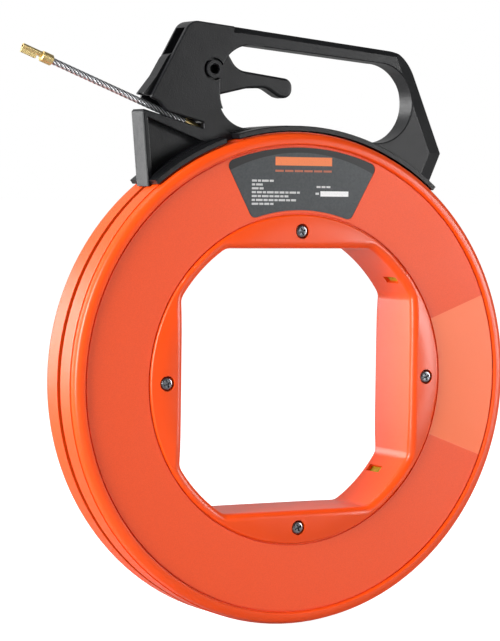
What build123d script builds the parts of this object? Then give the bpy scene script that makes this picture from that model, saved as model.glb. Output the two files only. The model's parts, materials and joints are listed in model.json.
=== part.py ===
from build123d import *
import os
from math import cos, radians, sin, sqrt

# Fish tape reel. Millimetres, +Z up, the reel's axis along Y, its label side facing -Y.
# Outlines are drawn in the reel plane, with x to the right, z up and the origin on the reel's axis.
# A depth is a distance from the middle plane of the groove, where the two case halves meet.

# ---- reel case ------------------------------------------------------------------------------
CASE_RADIUS = 152.5
AXIS_HEIGHT = CASE_RADIUS          # the rim touches z = 0
WALL = 2.4
GROOVE_HALF = 2.4                  # half the width of the slot round the rim
BAND_DEPTH = 15.5                  # the plain band runs from the slot to this depth
BAND_STEP = 0.6
BEAD_DEPTH = 22.2                  # crest of the bead at the rim
BEAD_INNER = 145.1
ANNULUS_DEPTH = 20.5
OUTER_SEAM = 144.2                 # the narrow grooves that bound the flat annulus
INNER_SEAM = 102.4
SEAM_HALF = 0.3
SEAM_DEPTH = 0.8
FACE_DEPTH = 23.7                  # the domed ring round the opening, at its crest
FACE_EDGE_DEPTH = 22.1
FACE_OUTER = 100.2
FACE_CREST = 88.0                  # flat inside this radius
HUB_DEPTH = 21.5                   # inner parts reach up into the face to this depth
HUB_RADIUS = 60.0                  # the profiles reach in to here before the opening is cut
OPENING_HALF = 81.0                # the opening is a square with concentric arcs for corners
OPENING_RADIUS = 95.5
OPENING_CORNER = 9.0
OPENING_EDGE = 4.0
COLLAR = 3.9                       # thickening of the hub wall behind its rounded edge
COLLAR_DEPTH = 6.5
WINDOW_ANGLE = 39.5
WINDOW_LENGTH = 15.0
WINDOW_HEIGHT = 5.0

# ---- label and its recess -------------------------------------------------------------------
PAD_OUTER = 142.9
PAD_INNER = 104.6
PAD_OUTER_ANGLE = 21.8
PAD_INNER_ANGLE = 19.3
PAD_TURN = 0.6                     # degrees clockwise
PAD_CORNER = 4.0
PAD_RECESS = 0.5
LABEL_THICKNESS = 0.45

# ---- case screws ----------------------------------------------------------------------------
SCREW_CIRCLE = 91.6
SCREW_RADIUS = 2.0
SCREW_HEAD_RADIUS = 4.0
SCREW_HEAD_HEIGHT = 2.4
SCREW_HEAD_DEPTH = 23.2            # depth of the head's crown
SCREW_LENGTH = 34.0
BOSS_RADIUS = 5.8

# ---- tape and leader ------------------------------------------------------------------------
LEADER_SLOPE = 20.9                # degrees down to the right
TANGENT_RADIUS = 122.0             # the leader's line touches the coil here
TAPE_RADIUS = 1.6
COIL_INNER = 98.6
COIL_HALF_WIDTH = 16.6
CABLE_RADIUS = 2.05
FERRULE_RADIUS = 2.3
ANCHOR_PLACE = (86.6, 29.0)        # the clamp block, in the pocket between hub wall and drum
ANCHOR_SIZE = (4.8, 9.0)
ANCHOR_DEPTHS = (1.5, 9.5)
ANCHOR_SCREW_RADIUS = 1.1
FERRULE_X = (-70.0, -57.0)
CABLE_END_X = -158.4
SLEEVE_END_X = -165.6
SLEEVE_RADIUS = 3.3
HOOK_END_X = -177.6
HOOK_SHANK_RADIUS = 1.7
HOOK_RISE = 0.9
HOOK_NOTCH = 2.8
HOOK_FLAG_HALF = 1.1

# ---- handle ---------------------------------------------------------------------------------
CHEEK_HALF = 8.2
CAVITY_HALF = 5.7
BAR_HALF = 7.8
WEB_HALF = 2.9
CHANNEL_HALF = 2.9
SADDLE_INNER = 153.3
SADDLE_OUTER = 156.3
SADDLE_HALF = 17.5
SADDLE_ANGLES = (50.2, 128.9)
STEM_HALF = 1.9
RAIL_INNER = 146.2
RAIL_OUTER = 149.2
RAIL_HALF = 7.0
STEM_ANGLES = (51.0, 128.0)
RAIL_ANGLES = (51.5, 127.5)
NOTCH_ANGLES = (105.6, 109.0)
PIVOT = (-54.5, 189.5)
PIVOT_HOLE_RADIUS = 3.3
PIN_HALF_LENGTH = 7.6
PIN_SOCKET_RADIUS = 2.7
PIN_SOCKET_DEPTH = 5.5
BOSS_RING_RADIUS = 5.3
BOSS_GROOVE_RADIUS = 6.9
BOSS_GROOVE_DEPTH = 2.2
BOSS_RISE = 1.0
LEG_BEVEL = (11.0, 6.3)            # across the face, and down from it
BAR_BEVEL = (3.2, 2.6)
CHEEK_EDGE = 1.0
BAR_EDGE = 0.7
SADDLE_EDGE = 0.6
PANEL_EDGE = 0.5

# ---- trigger --------------------------------------------------------------------------------
TRIGGER_HALF = 5.2
JAW_GROOVE_HALF = 2.6
JAW_ROOF = 4.95                    # from the leader's centre line to the top of the jaw's groove
FINGER_TIP = (-4.2, 179.5)
FINGER_RADIUS = 6.0
FINGER_EDGE = 1.8
SPRING_X = -49.5
SPRING_Z = (204.6, 212.4)
SPRING_RADIUS = 2.4
SPRING_WIRE = 0.5

FAR = 400.0


# ---- helpers --------------------------------------------------------------------------------
def slab(outline, front, back):
    """A solid of an outline in the reel plane, from y = front to y = back."""
    plane = Plane(origin=(0, back, AXIS_HEIGHT), x_dir=(1, 0, 0), z_dir=(0, -1, 0))
    return extrude(plane * outline, amount=back - front)


def both_sides(outline, inner, outer):
    """The outline's solid between two depths, on the front and on the rear."""
    return slab(outline, -outer, -inner) + slab(outline, inner, outer)


def polygon(*points):
    return make_face(Polyline(*points, close=True))


def rounded(points, radii):
    """A polygon whose corners each have their own radius."""
    return make_face(FilletPolyline(*points, radius=radii, close=True))


def sector(inner, outer, start, end):
    """Part of a ring about the reel's axis, between two angles in degrees."""
    middle = (start + end) / 2
    corners = [(FAR * cos(radians(a)), FAR * sin(radians(a))) for a in (start, middle, end)]
    return (Circle(outer) - Circle(inner)) & polygon((0, 0), *corners)


def spin(profile):
    """A solid of revolution about the reel's axis, from an outline of (radius, y)."""
    plane = Plane(origin=(0, 0, AXIS_HEIGHT), x_dir=(1, 0, 0), z_dir=(0, 0, 1))
    return revolve(plane * profile, Axis((0, 0, AXIS_HEIGHT), (0, 1, 0)), 360)


def rod(radius, start, end):
    """A round bar between two points of the reel plane, on the groove's middle plane."""
    first = Vector(start[0], 0, start[1] + AXIS_HEIGHT)
    last = Vector(end[0], 0, end[1] + AXIS_HEIGHT)
    plane = Plane(origin=first, z_dir=last - first)
    return extrude(plane * Circle(radius), amount=(last - first).length)


def pin_y(radius, x, z, front, back):
    """A round bar along Y."""
    return slab(Pos(x, z) * Circle(radius), front, back)


def flipped(shape):
    """The same moulding turned over, so that its front faces the rear."""
    return Pos(0, 0, AXIS_HEIGHT) * Rot(180, 0, 0) * Pos(0, 0, -AXIS_HEIGHT) * shape


def edge_bevel(start, end, half, width, depth, lead=0.0):
    """Cutters that bevel the slab edge from start to end, on both sides of a slab of that half width.

    The solid lies to the right of the direction from start to end, and the cut begins that lead early.
    """
    length = sqrt((end[0] - start[0]) ** 2 + (end[1] - start[1]) ** 2)
    along = ((end[0] - start[0]) / length, (end[1] - start[1]) / length)
    start = (start[0] - lead * along[0], start[1] - lead * along[1])
    inward = (along[1], -along[0])
    over = 2.0

    def corner(inset, y):
        x = start[0] + inward[0] * inset
        z = start[1] + inward[1] * inset
        return (x, y, z + AXIS_HEIGHT)

    cutters = []
    reach = width + over * width / depth
    for side in (-1, 1):
        triangle = [
            corner(reach, side * (half + over)),
            corner(-over * width / depth, side * (half - depth - over)),
            corner(-FAR / 20, side * (half - depth - over)),
            corner(-FAR / 20, side * (half + over)),
        ]
        face = make_face(Polyline(*triangle, close=True))
        cutters.append(extrude(face, amount=length + lead, dir=(along[0], 0, along[1])))
    return cutters


def leader_z(x):
    """Height of the leader's centre line above the reel's axis."""
    slope = radians(LEADER_SLOPE)
    return (TANGENT_RADIUS - x * sin(slope)) / cos(slope)


def leader_point(x):
    return (x, leader_z(x))


def leader_strip(x_start, x_end, below, above):
    """A strip along the leader's line, between two distances from it."""
    slope = radians(LEADER_SLOPE)
    up = (sin(slope), cos(slope))
    first, last = leader_point(x_start), leader_point(x_end)
    return polygon(
        (first[0] - up[0] * below, first[1] - up[1] * below),
        (last[0] - up[0] * below, last[1] - up[1] * below),
        (last[0] + up[0] * above, last[1] + up[1] * above),
        (first[0] + up[0] * above, first[1] + up[1] * above),
    )


# ---- reel case ------------------------------------------------------------------------------
def opening_outline(grow=0.0):
    side = 2 * (OPENING_HALF + grow)
    squared = Rectangle(side, side) & Circle(OPENING_RADIUS + grow)
    return fillet(squared.vertices(), OPENING_CORNER + grow)


def pad_outline(grow=0.0):
    """The label's outline, at the top of the annulus."""
    outer, inner = PAD_OUTER + grow, PAD_INNER - grow
    wide = PAD_OUTER * sin(radians(PAD_OUTER_ANGLE)) + grow
    narrow = PAD_INNER * sin(radians(PAD_INNER_ANGLE)) + grow
    top = PAD_OUTER * cos(radians(PAD_OUTER_ANGLE))
    low = PAD_INNER * cos(radians(PAD_INNER_ANGLE))
    lean = (wide - narrow) / (top - low)
    reach = 30.0
    wedge = polygon(
        (-wide - lean * reach, top + reach),
        (wide + lean * reach, top + reach),
        (narrow - lean * reach, low - reach),
        (-narrow + lean * reach, low - reach),
    )
    pad = (Circle(outer) - Circle(inner)) & wedge
    return Rot(0, 0, -PAD_TURN) * fillet(pad.vertices(), PAD_CORNER)


def seam(middle):
    """Points across one of the annulus's narrow grooves, from its outer side to its inner side."""
    floor = -ANNULUS_DEPTH + SEAM_DEPTH
    return [
        (middle + SEAM_HALF + 0.2, -ANNULUS_DEPTH),
        (middle + SEAM_HALF, floor),
        (middle - SEAM_HALF, floor),
        (middle - SEAM_HALF - 0.2, -ANNULUS_DEPTH),
    ]


def case_skin():
    """The half's outer profile as (radius, y)."""
    shoulder = (CASE_RADIUS - BAND_STEP, -BAND_DEPTH)
    crest = (BEAD_INNER + 0.6, -BEAD_DEPTH)
    face_edge = (FACE_OUTER, -FACE_EDGE_DEPTH)
    ring_foot = (INNER_SEAM - SEAM_HALF - 0.2, -ANNULUS_DEPTH)
    rim = Polyline(
        (HUB_RADIUS, -FACE_DEPTH), (HUB_RADIUS, -GROOVE_HALF), (CASE_RADIUS, -GROOVE_HALF),
        (CASE_RADIUS, -BAND_DEPTH), shoulder,
    )
    bead = Spline(
        shoulder, (151.5, -19.0), (150.6, -20.7), (149.2, -21.6), crest, tangents=((-0.03, -1), (-1, 0)),
    )
    outer_seam = Polyline(crest, (BEAD_INNER, 0.3 - BEAD_DEPTH), *seam(OUTER_SEAM))
    annulus = Line(seam(OUTER_SEAM)[-1], seam(INNER_SEAM)[0])
    inner_seam = Polyline(*seam(INNER_SEAM))
    ring_edge = ThreePointArc(ring_foot, (FACE_OUTER + 1.3, -FACE_EDGE_DEPTH + 0.6), face_edge)
    dome = TangentArc((FACE_CREST, -FACE_DEPTH), face_edge, tangent=(1, 0))
    centre = Line((FACE_CREST, -FACE_DEPTH), (HUB_RADIUS, -FACE_DEPTH))
    edges = [*rim.edges(), bead.edge(), *outer_seam.edges(), annulus.edge(), *inner_seam.edges()]
    return make_face(Wire(edges + [ring_edge.edge(), dome.edge(), centre.edge()]))


def case_room():
    """The half's inner profile as (radius, y): the tape chamber."""
    roof = WALL - FACE_DEPTH
    ceiling = WALL - ANNULUS_DEPTH
    return polygon(
        (HUB_RADIUS, -1.0), (CASE_RADIUS - WALL, -1.0), (CASE_RADIUS - WALL, -BAND_DEPTH),
        (148.3, -18.4), (146.4, -19.6), (OUTER_SEAM, ceiling), (INNER_SEAM - 1.0, ceiling),
        (FACE_OUTER - 1.0, WALL - FACE_EDGE_DEPTH), (FACE_CREST, roof), (HUB_RADIUS, roof),
    )


def screw_places():
    """Centres of the four case screws, by the side of the opening that they are on."""
    return {
        "top": (0, SCREW_CIRCLE),
        "right": (SCREW_CIRCLE, 0),
        "bottom": (0, -SCREW_CIRCLE),
        "left": (-SCREW_CIRCLE, 0),
    }


def bare_case():
    """A case half with its hub wall, drum, screw bosses, windows and label recess."""
    shell = spin(case_skin()) - spin(case_room())
    hub_wall = slab(opening_outline(WALL) - opening_outline(), -HUB_DEPTH, 0)
    collar = slab(opening_outline(COLLAR) - opening_outline(), -HUB_DEPTH, -FACE_DEPTH + COLLAR_DEPTH)
    drum_ring = Circle(OPENING_RADIUS + WALL) - Circle(OPENING_RADIUS)
    drum = slab(drum_ring, -HUB_DEPTH, 0)
    case = shell + hub_wall + collar + drum
    for x, z in screw_places().values():
        case += pin_y(BOSS_RADIUS, x, z, -HUB_DEPTH, 0)
    case -= slab(opening_outline(), -FAR, FAR)
    opening_edges = [
        edge
        for edge in case.edges()
        if edge.center().Y < -FACE_EDGE_DEPTH - 0.1
        and Vector(edge.center().X, 0, edge.center().Z - AXIS_HEIGHT).length < FACE_OUTER - 3
    ]
    case = fillet(opening_edges, OPENING_EDGE)
    for turn in (WINDOW_ANGLE, WINDOW_ANGLE + 180):
        window = slab(Pos(OPENING_RADIUS, 0) * Rectangle(30, WINDOW_HEIGHT), -1 - WINDOW_LENGTH, -1)
        case -= Pos(0, 0, AXIS_HEIGHT) * Rot(0, -turn, 0) * Pos(0, 0, -AXIS_HEIGHT) * window
    pad = slab(pad_outline(0.3), -ANNULUS_DEPTH - 0.5, -ANNULUS_DEPTH + PAD_RECESS)
    return case - pad


def front_case(bare):
    """Front half: a clearance hole and a head recess for each screw."""
    case = bare
    for x, z in screw_places().values():
        case -= pin_y(SCREW_RADIUS + 0.2, x, z, -FAR, FAR)
        case -= pin_y(SCREW_HEAD_RADIUS + 0.7, x, z, -FAR, -SCREW_HEAD_DEPTH + SCREW_HEAD_HEIGHT)
    return case


def rear_case(bare):
    """Rear half: the same moulding turned over, with blind holes that the screws cut into."""
    case = flipped(bare)
    case += slab(anchor_outline(), ANCHOR_DEPTHS[1], HUB_DEPTH)
    case -= pin_y(ANCHOR_SCREW_RADIUS, *anchor_screw_place(), ANCHOR_DEPTHS[1] - 1, ANCHOR_DEPTHS[1] + 7)
    case -= tail_bar(TAPE_RADIUS + 0.4)
    for x, z in screw_places().values():
        case -= pin_y(SCREW_RADIUS, x, z, -1, SCREW_LENGTH - SCREW_HEAD_DEPTH + 2)
    return case


def case_screw(x, z):
    """Pan-head screw with a cross recess."""
    crown = -SCREW_HEAD_DEPTH
    shank = pin_y(SCREW_RADIUS, x, z, crown + 1.0, crown + SCREW_LENGTH)
    head = pin_y(SCREW_HEAD_RADIUS, x, z, crown, crown + SCREW_HEAD_HEIGHT)
    crown_edges = head.edges().group_by(Axis.Y)[0]
    head = fillet(crown_edges, 1.5)
    cross = Rectangle(5.0, 1.1) + Rectangle(1.1, 5.0)
    recess = slab(Pos(x, z) * Rot(0, 0, 20) * cross, crown - 1, crown + 1.4)
    return shank + head - recess


def label_plate():
    back = -ANNULUS_DEPTH + PAD_RECESS
    return slab(pad_outline(), back - LABEL_THICKNESS, back)


# ---- tape inside the reel -------------------------------------------------------------------
def coil_outer():
    return TANGENT_RADIUS - TAPE_RADIUS - 0.6


def tape_coil():
    """The wound tape, as the outer shape of all its turns, with softly rounded corners."""
    ring = spin(Pos((COIL_INNER + coil_outer()) / 2, 0) * Rectangle(
        coil_outer() - COIL_INNER, 2 * COIL_HALF_WIDTH))
    return fillet(ring.edges(), TAPE_RADIUS)


def anchor_outline():
    return Pos(*ANCHOR_PLACE) * Rectangle(*ANCHOR_SIZE)


def tape_anchor():
    """Clamp block in the pocket behind the drum, which holds the tape's inner end."""
    block = slab(anchor_outline(), *ANCHOR_DEPTHS)
    block -= tail_bar(TAPE_RADIUS)
    return block - pin_y(ANCHOR_SCREW_RADIUS, *anchor_screw_place(), -FAR, FAR)


def anchor_screw_place():
    return (ANCHOR_PLACE[0], ANCHOR_PLACE[1] - 2.6)


def anchor_screw():
    """Small screw through the clamp block into the rear case's pillar."""
    front, back = ANCHOR_DEPTHS
    shank = pin_y(ANCHOR_SCREW_RADIUS, *anchor_screw_place(), front, back + 6.0)
    head = pin_y(2.0, *anchor_screw_place(), front - 1.3, front)
    return shank + head - slab(Pos(*anchor_screw_place()) * Rectangle(3.0, 0.7), front - 2, front - 0.6)


def tail_bar(radius):
    """The stretch of tape between the drum and the clamp block."""
    x, z = ANCHOR_PLACE
    centre = sqrt(x * x + (z + 1.6) ** 2)
    direction = (x / centre, (z + 1.6) / centre)
    start = (direction[0] * (centre - 0.5), direction[1] * (centre - 0.5))
    end = (direction[0] * (COIL_INNER - 0.2), direction[1] * (COIL_INNER - 0.2))
    middle = sum(ANCHOR_DEPTHS) / 2
    return Pos(0, middle, 0) * rod(radius, start, end)


def tape_tail():
    """The tape's inner end, from the coil through the drum into the clamp block."""
    return tail_bar(TAPE_RADIUS)


# ---- handle ---------------------------------------------------------------------------------
TOP_LINE = ((-70.8, 218.6), (86.3, 203.4))
LEG_CORNER = (113.0, 141.2)
LEG_FOOT = (102.6, 118.0)
CHEEK_LOW = (-97.3, 171.3)
LIP_LINE = ((-101.2, 164.2), (-58.0, 152.6))
FOOT = ((-98.3, 118.0), (-102.4, 162.8))
GRIP_START = -32.0
SHARP_EDGE = 60.0                  # edges of the cheeks longer than this stay sharp
PANEL = ((-98.9, 159.4), (-57.0, 143.8), (-50.0, 138.0), (-94.6, 112.0))
PANEL_TOP = 154.0
PANEL_RIGHT = -76.0
NECK = ((-58.8, 164.2), (-44.0, 166.4), (-30.0, 166.0), (-20.0, 157.0), (-41.0, 149.4), (-58.8, 159.6))
NECK_DEPTH = 3.6
ROOT = ((-43.0, 218.0), (-30.5, 204.2), (-30.5, 202.0), (-19.0, 202.0), (-19.0, 218.0))
ROOT_BEVEL = ((-41.0, 215.5), (-17.0, 213.166))
GRIP_BEVEL_START = (-34.0, 215.1)
LEG_BEVEL_LEAD = 40.0


def hand_opening():
    """The space for the hand, round at both ends, over the saddle."""
    left = -49.9
    right = (62.3, 172.0)
    radius = 25.0
    low = SADDLE_OUTER + 0.2
    shape = polygon((left, 140), (left, 206.5), (right[0], right[1] + radius), right, (53.7, 140))
    shape -= Circle(low)
    shape = fillet(shape.vertices().sort_by(Axis.X)[:2], 21.0)
    shape += Pos(*right) * Circle(radius)
    return shape


def upper_block():
    """Outline of the cheeks, from the leader's slit to the top and the neck."""
    points = [
        CHEEK_LOW, TOP_LINE[0], (-20, 213.7), (-20, 140), (-48, 144), (-61, 152.0),
        (-61, 157.0), (-86, 163.2), (-91.5, 169.0),
    ]
    return rounded(points, [1.6, 9.0, 0.01, 0.01, 0.01, 0.01, 1.4, 2.0, 2.0])


def lower_block():
    """Outline of the foot, the lip under the leader and the panel between them."""
    points = [FOOT[0], FOOT[1], LIP_LINE[0], LIP_LINE[1], (-40, 148), (-40, 130)]
    return polygon(*points)


def right_block():
    """Outline of the grip bar and the right leg."""
    points = [
        (GRIP_START, 214.8), TOP_LINE[1], LEG_CORNER, LEG_FOOT, (60, 140), (GRIP_START, 150),
    ]
    return rounded(points, [0.01, 26.0, 2.0, 0.01, 0.01, 0.01])


def trigger_cavity():
    """Space between the cheeks, down to the lip under the leader."""
    return polygon(
        (-125, 215.6), (-58.0, 213.4), (-44.5, 212.4), (-44.5, 203.0), (-38.0, 200.0),
        (-38.0, 174.0), (-50.0, 171.4), (-61.0, 164.5), (-61.0, LIP_LINE[1][1] + 1.0),
        (LIP_LINE[0][0], LIP_LINE[0][1] + 0.2), (-125, 168),
    )


def rim_edges(shape, half):
    """The edges that lie on the front and rear faces of a slab of that half width."""
    shortest = 0.3
    return [
        edge
        for edge in shape.edges()
        if abs(abs(edge.center().Y) - half) < 0.01 and edge.length > shortest
    ]


def handle_frame():
    """One moulding: cheeks, grip bar, legs, saddle and the rail that rides in the reel's slot."""
    under = Circle(SADDLE_INNER)
    left = (upper_block() + lower_block()) - hand_opening() - under
    body = slab(left, -CHEEK_HALF, CHEEK_HALF)
    body = fillet([edge for edge in rim_edges(body, CHEEK_HALF) if edge.length < SHARP_EDGE], CHEEK_EDGE)
    right = right_block() - hand_opening() - under
    grip = slab(right, -BAR_HALF, BAR_HALF)
    for cutter in edge_bevel(TOP_LINE[1], LEG_CORNER, BAR_HALF, *LEG_BEVEL, LEG_BEVEL_LEAD):
        grip -= cutter
    for cutter in edge_bevel(LEG_CORNER, LEG_FOOT, BAR_HALF, *LEG_BEVEL):
        grip -= cutter
    for cutter in edge_bevel(GRIP_BEVEL_START, TOP_LINE[1], BAR_HALF, *BAR_BEVEL):
        grip -= cutter
    grip = fillet([edge for edge in rim_edges(grip, BAR_HALF) if edge.center().X > GRIP_START + 0.5], BAR_EDGE)
    body += grip
    body -= slab(trigger_cavity(), -CAVITY_HALF, CAVITY_HALF)

    panel = polygon(*PANEL) - Circle(SADDLE_OUTER + 0.8)
    body -= both_sides(panel, WEB_HALF, CHEEK_HALF + 1)
    panel_rim = [
        edge
        for edge in rim_edges(body, CHEEK_HALF)
        if edge.length > 30 and edge.center().X < PANEL_RIGHT and edge.center().Z < AXIS_HEIGHT + PANEL_TOP
    ]
    body = fillet(panel_rim, PANEL_EDGE)
    neck = polygon(*NECK) - Circle(SADDLE_OUTER + 0.6)
    body -= both_sides(neck, CHEEK_HALF - NECK_DEPTH, CHEEK_HALF + 1)

    saddle = slab(sector(SADDLE_INNER, SADDLE_OUTER, *SADDLE_ANGLES), -SADDLE_HALF, SADDLE_HALF)
    outer_arcs = sorted(rim_edges(saddle, SADDLE_HALF), key=lambda edge: edge.length)[-2:]
    body += fillet(outer_arcs, SADDLE_EDGE)
    body += slab(sector(RAIL_OUTER - 1, SADDLE_INNER + 1, *STEM_ANGLES), -STEM_HALF, STEM_HALF)
    body += slab(sector(RAIL_INNER, RAIL_OUTER, *RAIL_ANGLES), -RAIL_HALF, RAIL_HALF)
    notch = sector(SADDLE_INNER - 2, SADDLE_OUTER + 2, *NOTCH_ANGLES)
    body -= both_sides(notch, CHEEK_HALF, SADDLE_HALF + 1)
    channel = leader_strip(-104, 10, CHANNEL_HALF, CHANNEL_HALF)
    body -= slab(channel, -CHANNEL_HALF, CHANNEL_HALF)

    groove = Pos(*PIVOT) * (Circle(BOSS_GROOVE_RADIUS) - Circle(BOSS_RING_RADIUS))
    body -= both_sides(groove, CHEEK_HALF - BOSS_GROOVE_DEPTH, CHEEK_HALF + 1)
    ring = Pos(*PIVOT) * Circle(BOSS_RING_RADIUS)
    body += both_sides(ring, CAVITY_HALF, CHEEK_HALF + BOSS_RISE)
    body -= pin_y(PIVOT_HOLE_RADIUS, *PIVOT, -FAR, FAR)

    body -= both_sides(polygon(*ROOT), BAR_HALF, CHEEK_HALF + 1)
    for cutter in edge_bevel(*ROOT_BEVEL, BAR_HALF, *BAR_BEVEL):
        body -= cutter
    return body


def pivot_pin():
    """Pin with a blind hole in each end."""
    pin = pin_y(PIVOT_HOLE_RADIUS, *PIVOT, -PIN_HALF_LENGTH, PIN_HALF_LENGTH)
    hole = Pos(*PIVOT) * Circle(PIN_SOCKET_RADIUS)
    return pin - both_sides(hole, PIN_HALF_LENGTH - PIN_SOCKET_DEPTH, PIN_HALF_LENGTH)


def trigger_lever():
    """Finger lever and brake jaw in one moulding, turning on the pivot pin."""
    tip_x, tip_z = FINGER_TIP
    finger = rounded(
        [
            (-62.0, 204.4), (-46.5, 204.4), (-36.6, 189.6), (tip_x + FINGER_RADIUS, tip_z + 5.4),
            (tip_x + FINGER_RADIUS, tip_z - 7.4), (tip_x - 3.6, tip_z - 5.6), (-17.0, 179.2),
            (-30.0, 178.5), (-51.0, 173.6), (-60.0, 178.0),
        ],
        [2.0, 3.0, 12.0, 5.6, 5.6, 4.0, 9.0, 20.0, 3.0, 1.0],
    )
    jaw = rounded(
        [
            (-100.9, 173.2), (-91.8, 184.4), (-84.0, 197.5), (-62.0, 202.0), (-54.5, 196.0),
            (-54.5, 178.0), (-63.0, 171.0), (-88.0, 173.4), (-95.6, 172.4),
        ],
        [0.6, 8.0, 6.0, 3.0, 0.5, 0.5, 4.0, 3.0, 2.0],
    )
    lever = slab(finger + jaw, -TRIGGER_HALF, TRIGGER_HALF)
    roof = leader_strip(-120, -60, 6.0, JAW_ROOF)
    lever -= slab(roof, -JAW_GROOVE_HALF, JAW_GROOVE_HALF)
    lever -= pin_y(PIVOT_HOLE_RADIUS + 0.06, *PIVOT, -FAR, FAR)
    soft = [
        edge
        for edge in lever.edges()
        if edge.center().X > -44 and abs(abs(edge.center().Y) - TRIGGER_HALF) < 0.01
    ]
    return fillet(soft, FINGER_EDGE)


def trigger_spring():
    """Return spring between the handle's top wall and the trigger, as its outer shape."""
    bottom, top = SPRING_Z
    turns = 7
    pitch = (top - bottom - 2 * SPRING_WIRE) / (turns - 1)
    low = Vector(SPRING_X, 0, AXIS_HEIGHT + bottom)
    body = Plane(origin=low) * Cylinder(
        SPRING_RADIUS, top - bottom, align=(Align.CENTER, Align.CENTER, Align.MIN))
    body -= Plane(origin=low) * Cylinder(
        SPRING_RADIUS - SPRING_WIRE, top - bottom, align=(Align.CENTER, Align.CENTER, Align.MIN))
    for turn in range(turns):
        height = SPRING_WIRE + turn * pitch
        body += Plane(origin=low + Vector(0, 0, height)) * Torus(SPRING_RADIUS - 0.1, SPRING_WIRE)
    return body


# ---- leader ---------------------------------------------------------------------------------
def tape_lead():
    """The straight run of tape from the coil to the leader's ferrule."""
    touch = TANGENT_RADIUS * sin(radians(LEADER_SLOPE))
    return rod(TAPE_RADIUS, leader_point(touch), leader_point(FERRULE_X[1]))


def leader_ferrule():
    return rod(FERRULE_RADIUS, leader_point(FERRULE_X[1]), leader_point(FERRULE_X[0]))


def leader_cable():
    return rod(CABLE_RADIUS, leader_point(FERRULE_X[0]), leader_point(CABLE_END_X))


def tip_sleeve():
    """Crimped brass sleeve on the cable's end, with a waist in its middle."""
    sleeve = rod(SLEEVE_RADIUS, leader_point(CABLE_END_X), leader_point(SLEEVE_END_X))
    return chamfer(sleeve.edges().filter_by(GeomType.CIRCLE), 0.6)


def tip_hook():
    """Brass hook: a round shank with a flag under it, which leaves a notch next to the sleeve."""
    shank = rod(HOOK_SHANK_RADIUS, leader_point(SLEEVE_END_X), leader_point(HOOK_END_X))
    slope = radians(LEADER_SLOPE)
    shank = Pos(HOOK_RISE * sin(slope), 0, HOOK_RISE * cos(slope)) * shank
    flag = slab(leader_strip(SLEEVE_END_X - HOOK_NOTCH, HOOK_END_X, 2.9, 0.8), -HOOK_FLAG_HALF, HOOK_FLAG_HALF)
    end = leader_point(HOOK_END_X)
    mouth = rod(0.9, end, leader_point(HOOK_END_X + 2.4))
    mouth = Pos(HOOK_RISE * sin(slope), 0, HOOK_RISE * cos(slope)) * mouth
    return shank + flag - mouth


def main():
    os.makedirs("parts", exist_ok=True)
    bare = bare_case()
    nodes = {
        "front_case": front_case(bare),
        "rear_case": rear_case(bare),
        "label_plate": label_plate(),
        "tape_coil": tape_coil(),
        "tape_anchor": tape_anchor(),
        "anchor_screw": anchor_screw(),
        "tape_tail": tape_tail(),
        "handle_frame": handle_frame(),
        "pivot_pin": pivot_pin(),
        "trigger_lever": trigger_lever(),
        "trigger_spring": trigger_spring(),
        "tape_lead": tape_lead(),
        "leader_ferrule": leader_ferrule(),
        "leader_cable": leader_cable(),
        "tip_sleeve": tip_sleeve(),
        "tip_hook": tip_hook(),
    }
    for side, (x, z) in screw_places().items():
        nodes["case_screw_" + side] = case_screw(x, z)
    for name, shape in nodes.items():
        export_step(shape, "parts/" + name + ".step")


main()
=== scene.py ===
"""Looks of the fish tape reel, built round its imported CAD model. Metres, +Z up, the reel's axis along Y."""

import json
import math

import bpy
from mathutils import Matrix, Vector


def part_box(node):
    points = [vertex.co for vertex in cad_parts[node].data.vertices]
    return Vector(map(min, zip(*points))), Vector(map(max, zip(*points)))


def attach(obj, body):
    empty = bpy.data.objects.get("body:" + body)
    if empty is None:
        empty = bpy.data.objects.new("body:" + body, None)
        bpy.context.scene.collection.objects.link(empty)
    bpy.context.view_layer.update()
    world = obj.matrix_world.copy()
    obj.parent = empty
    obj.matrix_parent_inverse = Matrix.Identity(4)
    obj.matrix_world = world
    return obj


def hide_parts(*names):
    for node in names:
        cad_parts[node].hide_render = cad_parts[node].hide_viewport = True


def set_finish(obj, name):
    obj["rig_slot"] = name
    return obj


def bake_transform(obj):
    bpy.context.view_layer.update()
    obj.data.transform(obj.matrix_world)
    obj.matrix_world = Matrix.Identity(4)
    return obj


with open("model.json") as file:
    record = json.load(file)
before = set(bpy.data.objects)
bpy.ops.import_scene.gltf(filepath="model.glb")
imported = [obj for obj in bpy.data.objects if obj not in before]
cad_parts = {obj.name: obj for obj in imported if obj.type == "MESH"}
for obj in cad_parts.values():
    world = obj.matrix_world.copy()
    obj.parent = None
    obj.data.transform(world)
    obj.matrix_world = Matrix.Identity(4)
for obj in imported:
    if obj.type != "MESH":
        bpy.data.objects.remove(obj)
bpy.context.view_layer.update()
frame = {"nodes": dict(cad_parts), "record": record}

# ---- places and sizes, in metres, as the CAD has them ----------------------------------------
REEL_RADIUS = 0.1525
REEL_CENTRE = Vector((0, 0, REEL_RADIUS))
LEADER_SLOPE = math.radians(20.9)
LEADER_HEIGHT = 0.122                 # of the leader's line above the reel's axis, square to it
FERRULE_END_X = -0.070
CABLE_END_X = -0.1584
CABLE_DIAMETER = 0.0041
ROUTE_X = (FERRULE_END_X, -0.098, -0.128, CABLE_END_X)
ANNULUS_DEPTH = 0.0205
ANNULUS_RADII = (0.1029, 0.1437)
LABEL_FACE = -0.02045
LABEL_BORDER_AND_SHADOW_RADIUS = 0.1397            # lower edge of the label's dark band, partly a printed border and partly painted shadow, on the label's middle line
RIM_BAND_RADIUS = 0.1510              # the rim's cylindrical bands lie outside this radius
RIM_BAND_HALF = 0.0153
TAPE_RADIUS = 0.0016
SMOOTH_SHEEN_PAD_SLOPE = math.tan(math.radians(20.9))   # the untextured patch at the annulus's right, which also carries a painted sheen


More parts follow.
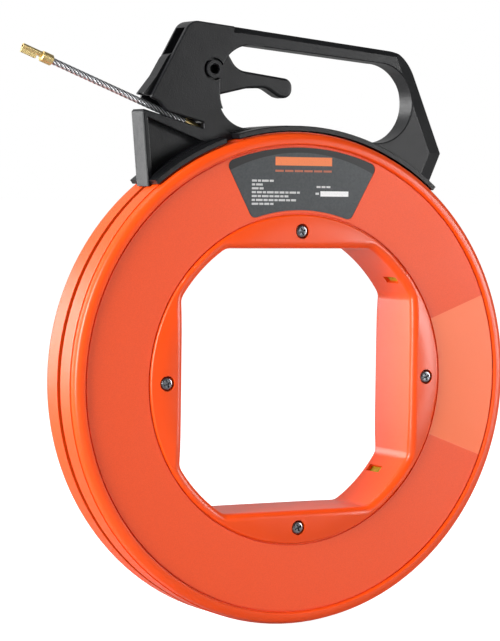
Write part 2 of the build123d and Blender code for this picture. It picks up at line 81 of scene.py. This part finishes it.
def leader_point(x):
    """A point on the leader's centre line."""
    height = (LEADER_HEIGHT - x * math.sin(LEADER_SLOPE)) / math.cos(LEADER_SLOPE)
    return Vector((x, 0, height)) + REEL_CENTRE


# ---- camera ---------------------------------------------------------------------------------
def make_camera():
    """A long lens, a little above the reel's axis and to its left, with a slight roll."""
    yaw, pitch, roll = (math.radians(a) for a in (-29.285, 4.198, 0.799))
    distance = 1.6532
    back = Vector((math.sin(yaw) * math.cos(pitch), -math.cos(yaw) * math.cos(pitch), math.sin(pitch)))
    right = (-back).cross(Vector((0, 0, 1))).normalized()
    up = right.cross(-back)
    rolled_right = math.cos(roll) * right + math.sin(roll) * up
    rolled_up = math.cos(roll) * up - math.sin(roll) * right
    data = bpy.data.cameras.new("camera")
    data.lens = 148.75
    data.sensor_width = 36.0
    data.shift_x = -0.0497
    data.shift_y = 0.0889
    data.clip_start = 0.05
    data.clip_end = 60.0
    camera = bpy.data.objects.new("camera", data)
    turn = Matrix((rolled_right, rolled_up, back)).transposed().to_4x4()
    camera.matrix_world = Matrix.Translation(REEL_CENTRE + back * distance) @ turn
    bpy.context.scene.collection.objects.link(camera)
    bpy.context.scene.camera = camera


# ---- meshes ---------------------------------------------------------------------------------
def new_object(name, points, faces, smooth=True):
    mesh = bpy.data.meshes.new(name)
    mesh.from_pydata([tuple(p) for p in points], [], faces)
    mesh.validate()
    for polygon in mesh.polygons:
        polygon.use_smooth = smooth
    piece = bpy.data.objects.new(name, mesh)
    bpy.context.scene.collection.objects.link(piece)
    return piece


def ring_faces(rings, around, closed=False, offset=0):
    """Quads between rings of points, with flat ends unless the last ring joins the first."""
    faces = []
    for i in range(rings if closed else rings - 1):
        for j in range(around):
            a, b = i * around, ((i + 1) % rings) * around
            k = (j + 1) % around
            faces.append([offset + a + j, offset + a + k, offset + b + k, offset + b + j])
    if not closed:
        faces.append([offset + j for j in reversed(range(around))])
        faces.append([offset + (rings - 1) * around + j for j in range(around)])
    return faces


def route_line(name, points):
    """The smooth line of a cord's route: a NURBS curve, and the points that it passes through."""
    curve = bpy.data.curves.new(name, "CURVE")
    curve.dimensions = "3D"
    spline = curve.splines.new("NURBS")
    spline.points.add(len(points) - 1)
    for control, point in zip(spline.points, points):
        control.co = (*point, 1.0)
    spline.order_u = 3
    spline.use_endpoint_u = True
    spline.resolution_u = 24
    holder = bpy.data.objects.new(name, curve)
    bpy.context.scene.collection.objects.link(holder)
    bpy.context.view_layer.update()
    mesh = bpy.data.meshes.new_from_object(holder)
    line = [v.co.copy() for v in mesh.vertices]
    bpy.data.objects.remove(holder)
    bpy.data.meshes.remove(mesh)
    return line


def evenly(line, count):
    """That many points, equally far apart, along a line of points."""
    lengths = [0.0]
    for a, b in zip(line, line[1:]):
        lengths.append(lengths[-1] + (b - a).length)
    found, i = [], 0
    for n in range(count):
        want = lengths[-1] * n / (count - 1)
        while i < len(line) - 2 and lengths[i + 1] < want:
            i += 1
        share = (want - lengths[i]) / max(lengths[i + 1] - lengths[i], 1e-9)
        found.append(line[i].lerp(line[i + 1], share))
    return found


# ---- leader cable ---------------------------------------------------------------------------
CABLE_LAY = 0.0190                    # length of one turn of the strands
CABLE_STEPS = 150                     # points along the cable
STRANDS = 6
STRAND_WIRES = 6
WIRE_TWIST = 2.4                      # turns of a strand's wires for each turn of the strand
WIRE_LOBE = 0.006                     # how far the wires stand out, as a share of the strand's radius


def make_cable():
    """Twisted steel leader: six strands round a core, each strand lobed by its outer wires."""
    route = [leader_point(x) for x in ROUTE_X]
    line = evenly(route_line("leader_route", route), CABLE_STEPS)
    length = sum((b - a).length for a, b in zip(line, line[1:]))
    side = Vector((0, 1, 0))
    strand_radius = CABLE_DIAMETER / 6
    helix_radius = CABLE_DIAMETER / 2 - strand_radius
    points, faces = [], []
    around = STRAND_WIRES * 4
    for strand in range(STRANDS + 1):
        offset = len(points)
        core = strand == STRANDS
        for n, place in enumerate(line):
            ahead = (line[min(n + 1, CABLE_STEPS - 1)] - line[max(n - 1, 0)]).normalized()
            over = side.cross(ahead)
            turn = -2 * math.pi * length * n / (CABLE_STEPS - 1) / CABLE_LAY
            angle = turn + 2 * math.pi * strand / STRANDS
            outward = side * math.cos(angle) + over * math.sin(angle)
            across = over * math.cos(angle) - side * math.sin(angle)
            centre = place if core else place + outward * helix_radius
            lean = 0.0 if core else math.atan(2 * math.pi * helix_radius / CABLE_LAY)
            wide = across * math.cos(lean) + ahead * math.sin(lean)
            for j in range(around):
                t = 2 * math.pi * j / around
                lobe = 1 - WIRE_LOBE * (1 - abs(math.cos(STRAND_WIRES * (t - WIRE_TWIST * turn) / 2)))
                radius = strand_radius * (1.0 if core else lobe)
                points.append(centre + (outward * math.cos(t) + wide * math.sin(t)) * radius)
        faces += ring_faces(CABLE_STEPS, around, offset=offset)
    cable = new_object("leader_strands", points, faces)
    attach(cable, "tape")
    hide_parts("leader_cable")
    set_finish(cable, "cable_steel")
    return cable


# ---- wound tape -----------------------------------------------------------------------------
COIL_INNER_RADIUS = 0.0986
COIL_COLUMNS = 10                     # turns of tape across the coil
COIL_ROWS = 6                         # layers of tape
COIL_SINK = 0.0002                    # of the turns inside the CAD solid's surface
COIL_WAVE = 0.00012                   # unevenness of the winding
COIL_STEPS = 144                      # sections round the coil
COIL_WIDTH_SHARE = 0.995              # of the CAD coil's width
TURN_POINTS = 5                       # points across one turn's rounded back


def coil_section(half, outer):
    """Outline of the coil's section, as (radius, distance from the middle plane)."""
    section = []

    def side(start, end, count):
        """Round turns along one side of the section, from start to end."""
        along = (end - start) / count
        out = Vector((along.y, -along.x)).normalized()
        sag = TAPE_RADIUS * 0.62
        for i in range(count):
            for j in range(TURN_POINTS):
                t = j / TURN_POINTS
                bulge = math.sqrt(max(0.0, 1 - (2 * t - 1) ** 2))
                section.append(start + along * (i + t) - out * sag * (1 - bulge))

    inner = COIL_INNER_RADIUS
    corners = [Vector(c) for c in ((inner, -half), (inner, half), (outer, half), (outer, -half))]
    for n, count in enumerate((COIL_COLUMNS, COIL_ROWS, COIL_COLUMNS, COIL_ROWS)):
        side(corners[n], corners[(n + 1) % 4], count)
    return section


def make_coil():
    """The wound tape: a ring whose section is the outline of its rows of turns."""
    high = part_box("tape_coil")[1]
    section = coil_section(high.y, high.x)
    points = []
    for i in range(COIL_STEPS):
        angle = 2 * math.pi * i / COIL_STEPS
        wobble = COIL_WAVE * math.sin(5 * angle)
        for radius, y in section:
            r = radius + wobble - COIL_SINK
            across = y * COIL_WIDTH_SHARE
            points.append(REEL_CENTRE + Vector((r * math.cos(angle), across, r * math.sin(angle))))
    coil = new_object("wound_tape", points, ring_faces(COIL_STEPS, len(section), closed=True))
    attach(coil, "reel")
    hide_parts("tape_coil")
    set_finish(coil, "yellow_tape")
    return coil


# ---- spring ---------------------------------------------------------------------------------
SPRING_WIRE = 0.0005                  # radius of the wire
SPRING_TURNS = 6.5
SPRING_STEPS = 170


def make_spring():
    """Coiled wire between the handle's roof and the trigger."""
    low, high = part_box("trigger_spring")
    centre = (low + high) / 2
    wire = SPRING_WIRE
    radius = (high.x - low.x) / 2 - wire
    around = 8
    points = []
    for n in range(SPRING_STEPS):
        t = n / (SPRING_STEPS - 1)
        angle = 2 * math.pi * SPRING_TURNS * t
        rise = min(max((t - 0.1) / 0.8, 0.0), 1.0)
        z = low.z + wire + rise * (high.z - low.z - 2 * wire)
        outward = Vector((math.cos(angle), math.sin(angle), 0))
        for j in range(around):
            a = 2 * math.pi * j / around
            offset = outward * math.cos(a) * wire + Vector((0, 0, math.sin(a) * wire))
            points.append(Vector((centre.x, centre.y, z)) + outward * radius + offset)
    spring = new_object("spring_wire", points, ring_faces(SPRING_STEPS, around))
    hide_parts("trigger_spring")
    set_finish(spring, "spring_steel")
    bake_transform(spring)
    return spring


# ---- label print ----------------------------------------------------------------------------
PRINT_THICKNESS = 0.00004
ROW_LEFT = -0.0342
ROW_TOP = 0.1217                      # lower edge of the first row, above the axis
ROW_PITCH = 0.00235
ROW_HEIGHT = 0.00125
ROW_WIDTHS = (0.0155, 0.0085, 0.0095, 0.0335, 0.0255, 0.0315, 0.0160)
WORD_WIDTHS = (0.0034, 0.0022, 0.0046, 0.0028)
WORD_GAP = 0.0007
MARK_LEFT = -0.0180


def bar(x, z, width, height):
    """Outline of one printed bar on the label, from its left lower corner."""
    return [(x, z), (x + width, z), (x + width, z + height), (x, z + height)]


def make_print(name, outlines):
    """Thin printed shapes on the label's face. Each outline is a list of (x, height above the axis)."""
    points, faces = [], []
    for outline in outlines:
        first, count = len(points), len(outline)
        for depth in (LABEL_FACE - PRINT_THICKNESS, LABEL_FACE + PRINT_THICKNESS):
            points += [(x, depth, REEL_RADIUS + z) for x, z in outline]
        faces.append([first + i for i in range(count)])
        faces.append([first + count + i for i in reversed(range(count))])
        for i in range(count):
            j = (i + 1) % count
            faces.append([first + j, first + i, first + count + i, first + count + j])
    piece = new_object(name, points, faces, smooth=False)
    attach(piece, "reel")
    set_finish(piece, "label_film")
    return piece


def label_rows():
    """Short bars that stand for the label's small print."""
    rows = []
    for n, width in enumerate(ROW_WIDTHS):
        z = ROW_TOP - n * ROW_PITCH
        x, end, word = ROW_LEFT, ROW_LEFT + width, n
        while x < end - 0.0008:
            step = min(WORD_WIDTHS[word % len(WORD_WIDTHS)], end - x)
            rows.append(bar(x, z, step, ROW_HEIGHT))
            x += step + WORD_GAP
            word += 1
    rows += [bar(0.0112 + 0.0035 * i, 0.1183, 0.0028, 0.0012) for i in range(3)]
    rows.append(bar(0.0105, 0.1141, 0.0024, 0.0013))
    return rows


def make_label_print():
    """The four inks on the label, each a piece of its own."""
    mark = [bar(MARK_LEFT, 0.1318, 0.0400, 0.0052)]
    line = [bar(MARK_LEFT + 0.0068 * i, 0.1279, 0.0058, 0.0012) for i in range(6)]
    return {
        "label_mark": make_print("label_mark", mark),
        "label_line": make_print("label_line", line),
        "label_rows": make_print("label_rows", label_rows()),
        "label_strip": make_print("label_strip", [bar(0.0140, 0.1131, 0.0200, 0.0032)]),
    }


# ---- materials ------------------------------------------------------------------------------
class Shader:
    """A Principled material, with short calls that add nodes to it."""

    def __init__(self, name, colour, roughness, metallic=0.0):
        self.material = bpy.data.materials.new(name)
        self.material.use_nodes = True
        self.tree = self.material.node_tree
        self.surface = self.tree.nodes["Principled BSDF"]
        self.surface.inputs["Base Color"].default_value = (*colour, 1.0)
        self.surface.inputs["Roughness"].default_value = roughness
        self.surface.inputs["Metallic"].default_value = metallic
        self.position = self.node("ShaderNodeTexCoord").outputs["Object"]

    def node(self, kind, inputs=None, **settings):
        made = self.tree.nodes.new(kind)
        for key, value in settings.items():
            setattr(made, key, value)
        for key, value in (inputs or {}).items():
            self.feed(made.inputs[key], value)
        return made

    def feed(self, socket, value):
        if isinstance(value, bpy.types.NodeSocket):
            self.tree.links.new(value, socket)
        else:
            socket.default_value = value

    def set(self, name, value):
        self.feed(self.surface.inputs[name], value)

    def math(self, operation, a, b=0.0):
        return self.node("ShaderNodeMath", {0: a, 1: b}, operation=operation).outputs[0]

    def span(self, value, low, high, to_low=0.0, to_high=1.0):
        inputs = {"Value": value, "From Min": low, "From Max": high}
        inputs.update({"To Min": to_low, "To Max": to_high})
        return self.node("ShaderNodeMapRange", inputs, clamp=True).outputs["Result"]

    def noise(self, scale, detail=3.0, roughness=0.5, vector=None):
        inputs = {"Vector": vector or self.position, "Scale": scale}
        inputs.update({"Detail": detail, "Roughness": roughness})
        return self.node("ShaderNodeTexNoise", inputs).outputs["Fac"]

    def stretched(self, x, y, z):
        inputs = {"Vector": self.position, "Scale": (x, y, z)}
        return self.node("ShaderNodeMapping", inputs).outputs["Vector"]

    def mix(self, share, a, b):
        """Colour a where share is 0, colour b where it is 1."""
        made = self.node("ShaderNodeMix", data_type="RGBA")
        self.feed(made.inputs["Factor"], share)
        for socket, value in ((made.inputs[6], a), (made.inputs[7], b)):
            self.feed(socket, (*value, 1.0) if isinstance(value, tuple) else value)
        return made.outputs[2]

    def bump(self, height, distance, normal=None):
        inputs = {"Height": height, "Distance": distance, "Strength": 1.0}
        if normal:
            inputs["Normal"] = normal
        return self.node("ShaderNodeBump", inputs).outputs["Normal"]

    def axes(self):
        return self.node("ShaderNodeSeparateXYZ", {0: self.position}).outputs

    def radius(self):
        """Distance from the reel's axis."""
        x, _, z = self.axes()
        z = self.math("SUBTRACT", z, REEL_RADIUS)
        squares = self.math("ADD", self.math("MULTIPLY", x, x), self.math("MULTIPLY", z, z))
        return self.math("SQRT", squares)

    def depth(self):
        """Distance from the middle plane of the reel."""
        return self.math("ABSOLUTE", self.axes()[1])

    def within(self, value, low, high, soft):
        """1 between low and high, 0 outside, with soft edges."""
        rises = self.span(value, low - soft, low + soft)
        falls = self.span(value, high - soft, high + soft, 1.0, 0.0)
        return self.math("MULTIPLY", rises, falls)


def orange_plastic():
    """Moulded orange plastic: spark-eroded texture on the annulus, satin elsewhere, soft scuffs, and a
    painted sheen on the smooth patch at the annulus's right.
    """
    m = Shader("orange_plastic", (0.80, 0.075, 0.006), 0.38)
    annulus = m.within(m.depth(), ANNULUS_DEPTH - 0.0002, ANNULUS_DEPTH + 0.0002, 0.00005)
    annulus = m.math("MULTIPLY", annulus, m.within(m.radius(), *ANNULUS_RADII, 0.0001))
    x, _, z = m.axes()
    aside = m.math("ABSOLUTE", m.math("SUBTRACT", z, REEL_RADIUS))
    wedge = m.math("SUBTRACT", m.math("MULTIPLY", x, SMOOTH_SHEEN_PAD_SLOPE), aside)
    textured = m.math("MULTIPLY", annulus, m.span(wedge, -0.0001, 0.0001, 1.0, 0.0))
    on_rim = m.span(m.radius(), RIM_BAND_RADIUS - 0.0005, RIM_BAND_RADIUS + 0.0005)
    band = m.math("MULTIPLY", on_rim, m.span(m.depth(), RIM_BAND_HALF + 0.0003, RIM_BAND_HALF - 0.0003))
    cloud = m.noise(14.0, 4.0, 0.6)
    fine = m.noise(1500.0, 2.0, 0.6)
    smooth_pad_painted_sheen = m.math("SUBTRACT", annulus, textured)
    base = m.mix(m.span(cloud, 0.35, 0.65), (0.80, 0.066, 0.003), (0.86, 0.074, 0.004))
    speckled = m.mix(m.span(fine, 0.3, 0.7), (0.79, 0.064, 0.003), (0.87, 0.080, 0.006))
    base = m.mix(textured, base, speckled)
    # Painted sheen: the smooth patch at the annulus's right is painted lighter and pinker, standing in for
    # the front lamp's reflection.
    base = m.mix(m.math("MULTIPLY", smooth_pad_painted_sheen, 0.8), base, (0.94, 0.190, 0.060))
    scuffs = m.noise(160.0, 5.0, 0.7, m.stretched(0.25, 1.0, 1.6))
    base = m.mix(m.span(scuffs, 0.66, 0.80, 0.0, 0.12), base, (0.92, 0.36, 0.20))
    m.set("Base Color", base)
    rough = m.span(cloud, 0.3, 0.7, 0.30, 0.38)
    rough = m.math("ADD", rough, m.math("MULTIPLY", textured, 0.12))
    rough = m.math("ADD", rough, m.math("MULTIPLY", band, 0.08))
    rough = m.math("ADD", rough, m.span(scuffs, 0.58, 0.80, 0.0, 0.12))
    m.set("Roughness", rough)
    grain = m.math("MULTIPLY", fine, m.span(textured, 0.0, 1.0, 0.05, 1.0))
    swell = m.noise(60.0, 2.0)
    m.set("Normal", m.bump(grain, 0.00005, m.bump(swell, 0.00008)))
    m.set("Specular IOR Level", 0.42)
    m.set("Subsurface Weight", 0.04)
    m.set("Subsurface Radius", (0.6, 0.2, 0.1))
    m.set("Subsurface Scale", 0.002)
    return m.material


def black_plastic():
    """Moulded charcoal plastic: a fine satin grain, faint flow marks and rubbed patches."""
    m = Shader("black_plastic", (0.030, 0.031, 0.033), 0.42)
    cloud = m.noise(22.0, 4.0, 0.6)
    fine = m.noise(1300.0, 2.0, 0.55)
    base = m.mix(m.span(cloud, 0.3, 0.7), (0.0036, 0.0038, 0.0046), (0.0066, 0.0070, 0.0082))
    rub = m.noise(240.0, 5.0, 0.7, m.stretched(0.3, 1.0, 1.5))
    base = m.mix(m.span(rub, 0.62, 0.80, 0.0, 0.35), base, (0.035, 0.035, 0.037))
    m.set("Base Color", base)
    rough = m.math("ADD", m.span(cloud, 0.3, 0.7, 0.33, 0.43), m.span(rub, 0.5, 0.8, 0.0, 0.14))
    m.set("Roughness", rough)
    m.set("Specular IOR Level", 0.31)
    m.set("Normal", m.bump(fine, 0.00006, m.bump(m.noise(90.0, 3.0), 0.00010)))
    return m.material


def label_film():
    """Printed film: grey ground with a darker band that curves under its upper edge, partly a printed border
    and partly painted shadow.
    """
    m = Shader("label_film", (0.07, 0.075, 0.08), 0.42)
    x = m.axes()[0]
    edge = m.math("SUBTRACT", m.radius(), LABEL_BORDER_AND_SHADOW_RADIUS)
    edge = m.math("ADD", edge, m.math("MULTIPLY", m.math("MULTIPLY", x, x), 0.9))
    fine = m.noise(700.0, 2.0, 0.6)
    ground = m.mix(m.span(fine, 0.3, 0.7), (0.038, 0.043, 0.047), (0.054, 0.060, 0.064))
    # The dark band along the upper edge is partly a printed border and partly painted shadow along that edge.
    m.set("Base Color", m.mix(m.span(edge, -0.0002, 0.0002), ground, (0.012, 0.012, 0.013)))
    m.set("Roughness", m.span(m.noise(45.0, 4.0), 0.3, 0.7, 0.34, 0.50))
    m.set("Specular IOR Level", 0.35)
    m.set("Normal", m.bump(fine, 0.00002))
    return m.material


def print_ink(name, colour, worn):
    """Ink on the label, a little uneven."""
    m = Shader(name, colour, 0.5)
    patches = m.noise(1600.0, 3.0, 0.6)
    m.set("Base Color", m.mix(m.span(patches, 0.55, 0.80), colour, worn))
    m.set("Roughness", m.span(patches, 0.3, 0.7, 0.42, 0.58))
    return m.material


def steel(name, colour, roughness, streak=(1.0, 1.0, 1.0)):
    """Plated steel with fine streaks and a dull bloom."""
    m = Shader(name, colour, roughness, 1.0)
    fine = m.noise(900.0, 4.0, 0.65, m.stretched(*streak))
    bloom = m.noise(220.0, 4.0, 0.6)
    dull = tuple(c * 0.62 for c in colour)
    m.set("Base Color", m.mix(m.span(bloom, 0.4, 0.72), colour, dull))
    m.set("Roughness", m.math("ADD", m.span(fine, 0.3, 0.7, -0.08, 0.10), roughness))
    m.set("Normal", m.bump(fine, 0.000008))
    return m.material


def cable_steel():
    """Drawn steel wire, bright on the strands' crowns, with painted shade in the grooves between them and
    patches of grime on the crowns.
    """
    m = Shader("cable_steel", (0.60, 0.61, 0.63), 0.34, 1.0)
    x, y, z = m.axes()
    rise = m.math("ADD", m.math("MULTIPLY", x, math.tan(LEADER_SLOPE)), z)
    line_height = REEL_RADIUS + LEADER_HEIGHT / math.cos(LEADER_SLOPE)
    above = m.math("MULTIPLY", m.math("SUBTRACT", rise, line_height), math.cos(LEADER_SLOPE))
    out = m.math("SQRT", m.math("ADD", m.math("MULTIPLY", above, above), m.math("MULTIPLY", y, y)))
    # Painted shade: nearer the cable's axis than the strands' crowns, the colour turns near black, standing
    # in for shade in the grooves between strands.
    crown_not_groove_shade = m.span(out, CABLE_DIAMETER * 0.40, CABLE_DIAMETER * 0.48)
    grime = m.noise(500.0, 3.0, 0.6)
    bright = m.mix(m.span(grime, 0.45, 0.75), (0.62, 0.63, 0.65), (0.46, 0.47, 0.49))
    m.set("Base Color", m.mix(crown_not_groove_shade, (0.030, 0.031, 0.034), bright))
    m.set("Roughness", m.span(crown_not_groove_shade, 0.0, 1.0, 0.62, 0.44))
    m.set("Normal", m.bump(grime, 0.000006))
    return m.material


def brass():
    """Turned brass, a little tarnished."""
    m = Shader("brass", (0.78, 0.60, 0.28), 0.3, 1.0)
    tarnish = m.noise(120.0, 2.0, 0.5)
    m.set("Base Color", m.mix(m.span(tarnish, 0.45, 0.78), (0.74, 0.58, 0.27), (0.60, 0.44, 0.17)))
    m.set("Roughness", m.span(tarnish, 0.3, 0.7, 0.36, 0.46))
    m.set("Normal", m.bump(m.noise(400.0, 2.0), 0.000003))
    return m.material


def yellow_tape():
    """Glossy yellow plastic sheath with faint lengthwise marks."""
    m = Shader("yellow_tape", (0.80, 0.58, 0.03), 0.3)
    marks = m.noise(300.0, 4.0, 0.6)
    m.set("Base Color", m.mix(m.span(marks, 0.3, 0.7), (0.40, 0.26, 0.008), (0.52, 0.36, 0.015)))
    m.set("Roughness", m.span(marks, 0.3, 0.7, 0.24, 0.38))
    m.set("Normal", m.bump(marks, 0.00006))
    return m.material


def dress(piece, material):
    piece.data.materials.clear()
    piece.data.materials.append(material)


def dress_nodes(made):
    black, orange = black_plastic(), orange_plastic()
    finishes = {
        "orange_plastic": orange,
        "black_plastic": black,
        "label_film": label_film(),
        "yellow_tape": yellow_tape(),
        "screw_steel": steel("screw_steel", (0.26, 0.27, 0.29), 0.26),
        "pin_steel": steel("pin_steel", (0.035, 0.035, 0.038), 0.42),
        "spring_steel": steel("spring_steel", (0.42, 0.43, 0.45), 0.30),
        "cable_steel": cable_steel(),
        "brass": brass(),
    }
    for part in frame["record"]["subparts"]:
        dress(frame["nodes"][part["node"]], finishes[part["material_slot"]])
    for piece in made:
        dress(piece, finishes[piece["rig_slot"]])


# ---- floor and light ------------------------------------------------------------------------
AMBIENT = 0.12
BACKDROP_GLOW = 0.55                  # how brightly the backdrop lights the object from behind
FLOOR_GLOW = 0.06                     # what the floor gives off, apart from what it reflects
FLOOR_SEEN = 0.97


def seen_or_not(tree, unseen, seen):
    """A value for the rays that light the object, and another for the camera's view of the backdrop."""
    value = tree.nodes.new("ShaderNodeMapRange")
    if isinstance(unseen, bpy.types.NodeSocket):
        tree.links.new(unseen, value.inputs["To Min"])
    else:
        value.inputs["To Min"].default_value = unseen
    value.inputs["To Max"].default_value = seen
    path = tree.nodes.new("ShaderNodeLightPath")
    tree.links.new(path.outputs["Is Camera Ray"], value.inputs["Value"])
    return value.outputs["Result"]


def backdrop_strength(tree):
    """Weak all round, brighter towards the backdrop behind the object."""
    direction = tree.nodes.new("ShaderNodeTexCoord").outputs["Generated"]
    parts = tree.nodes.new("ShaderNodeSeparateXYZ")
    tree.links.new(direction, parts.inputs[0])
    value = tree.nodes.new("ShaderNodeMapRange")
    span = {"From Min": 0.1, "From Max": 0.7, "To Min": AMBIENT, "To Max": BACKDROP_GLOW}
    for name, number in span.items():
        value.inputs[name].default_value = number
    tree.links.new(parts.outputs["Y"], value.inputs["Value"])
    return value.outputs["Result"]


def make_stage():
    """A white floor and backdrop, which show brighter than they light the object."""
    half = 30.0
    corners = [(-half, -half, 0), (half, -half, 0), (half, half, 0), (-half, half, 0)]
    floor = new_object("floor", corners, [[0, 1, 2, 3]])
    m = Shader("floor", (0.8, 0.8, 0.8), 0.9)
    m.set("Base Color", m.mix(m.noise(3.0, 3.0), (0.44, 0.44, 0.44), (0.46, 0.46, 0.46)))
    m.set("Specular IOR Level", 0.0)
    m.set("Emission Color", (1.0, 1.0, 1.0, 1.0))
    m.set("Emission Strength", seen_or_not(m.tree, FLOOR_GLOW, FLOOR_SEEN))
    dress(floor, m.material)
    world = bpy.data.worlds.new("world")
    world.use_nodes = True
    background = world.node_tree.nodes["Background"]
    background.inputs["Color"].default_value = (1.0, 1.0, 1.0, 1.0)
    strength = seen_or_not(world.node_tree, backdrop_strength(world.node_tree), 1.0)
    world.node_tree.links.new(strength, background.inputs["Strength"])
    bpy.context.scene.world = world


def area_light(name, place, target, size, energy):
    data = bpy.data.lights.new(name, "AREA")
    data.shape = "RECTANGLE"
    data.size, data.size_y = size
    data.energy = energy
    light = bpy.data.objects.new(name, data)
    light.location = place
    light.rotation_euler = (Vector(target) - Vector(place)).to_track_quat("-Z", "Y").to_euler()
    bpy.context.scene.collection.objects.link(light)


def make_lights():
    centre = (0, 0, 0.17)
    area_light("key", (-2.75, -0.45, 0.8), centre, (1.0, 1.8), 170)
    area_light("rear", (-1.35, 2.3, 0.3), centre, (1.1, 1.6), 38)
    area_light("front", (2.05, -1.75, 0.25), centre, (0.8, 1.3), 68)
    area_light("top", (-0.5, 0.9, 2.6), centre, (1.6, 1.2), 16)


make_camera()
cable = make_cable()
coil = make_coil()
spring = make_spring()
prints = make_label_print()
dress_nodes([cable, coil, spring])
dress(prints["label_mark"], print_ink("ink_orange", (0.82, 0.20, 0.05), (0.62, 0.14, 0.05)))
dress(prints["label_line"], print_ink("ink_rust", (0.42, 0.11, 0.05), (0.26, 0.09, 0.06)))
dress(prints["label_rows"], print_ink("ink_pale", (0.55, 0.55, 0.55), (0.30, 0.31, 0.32)))
dress(prints["label_strip"], print_ink("ink_white", (0.85, 0.85, 0.85), (0.55, 0.55, 0.55)))
make_stage()
make_lights()
bpy.context.scene.view_settings.view_transform = "Standard"
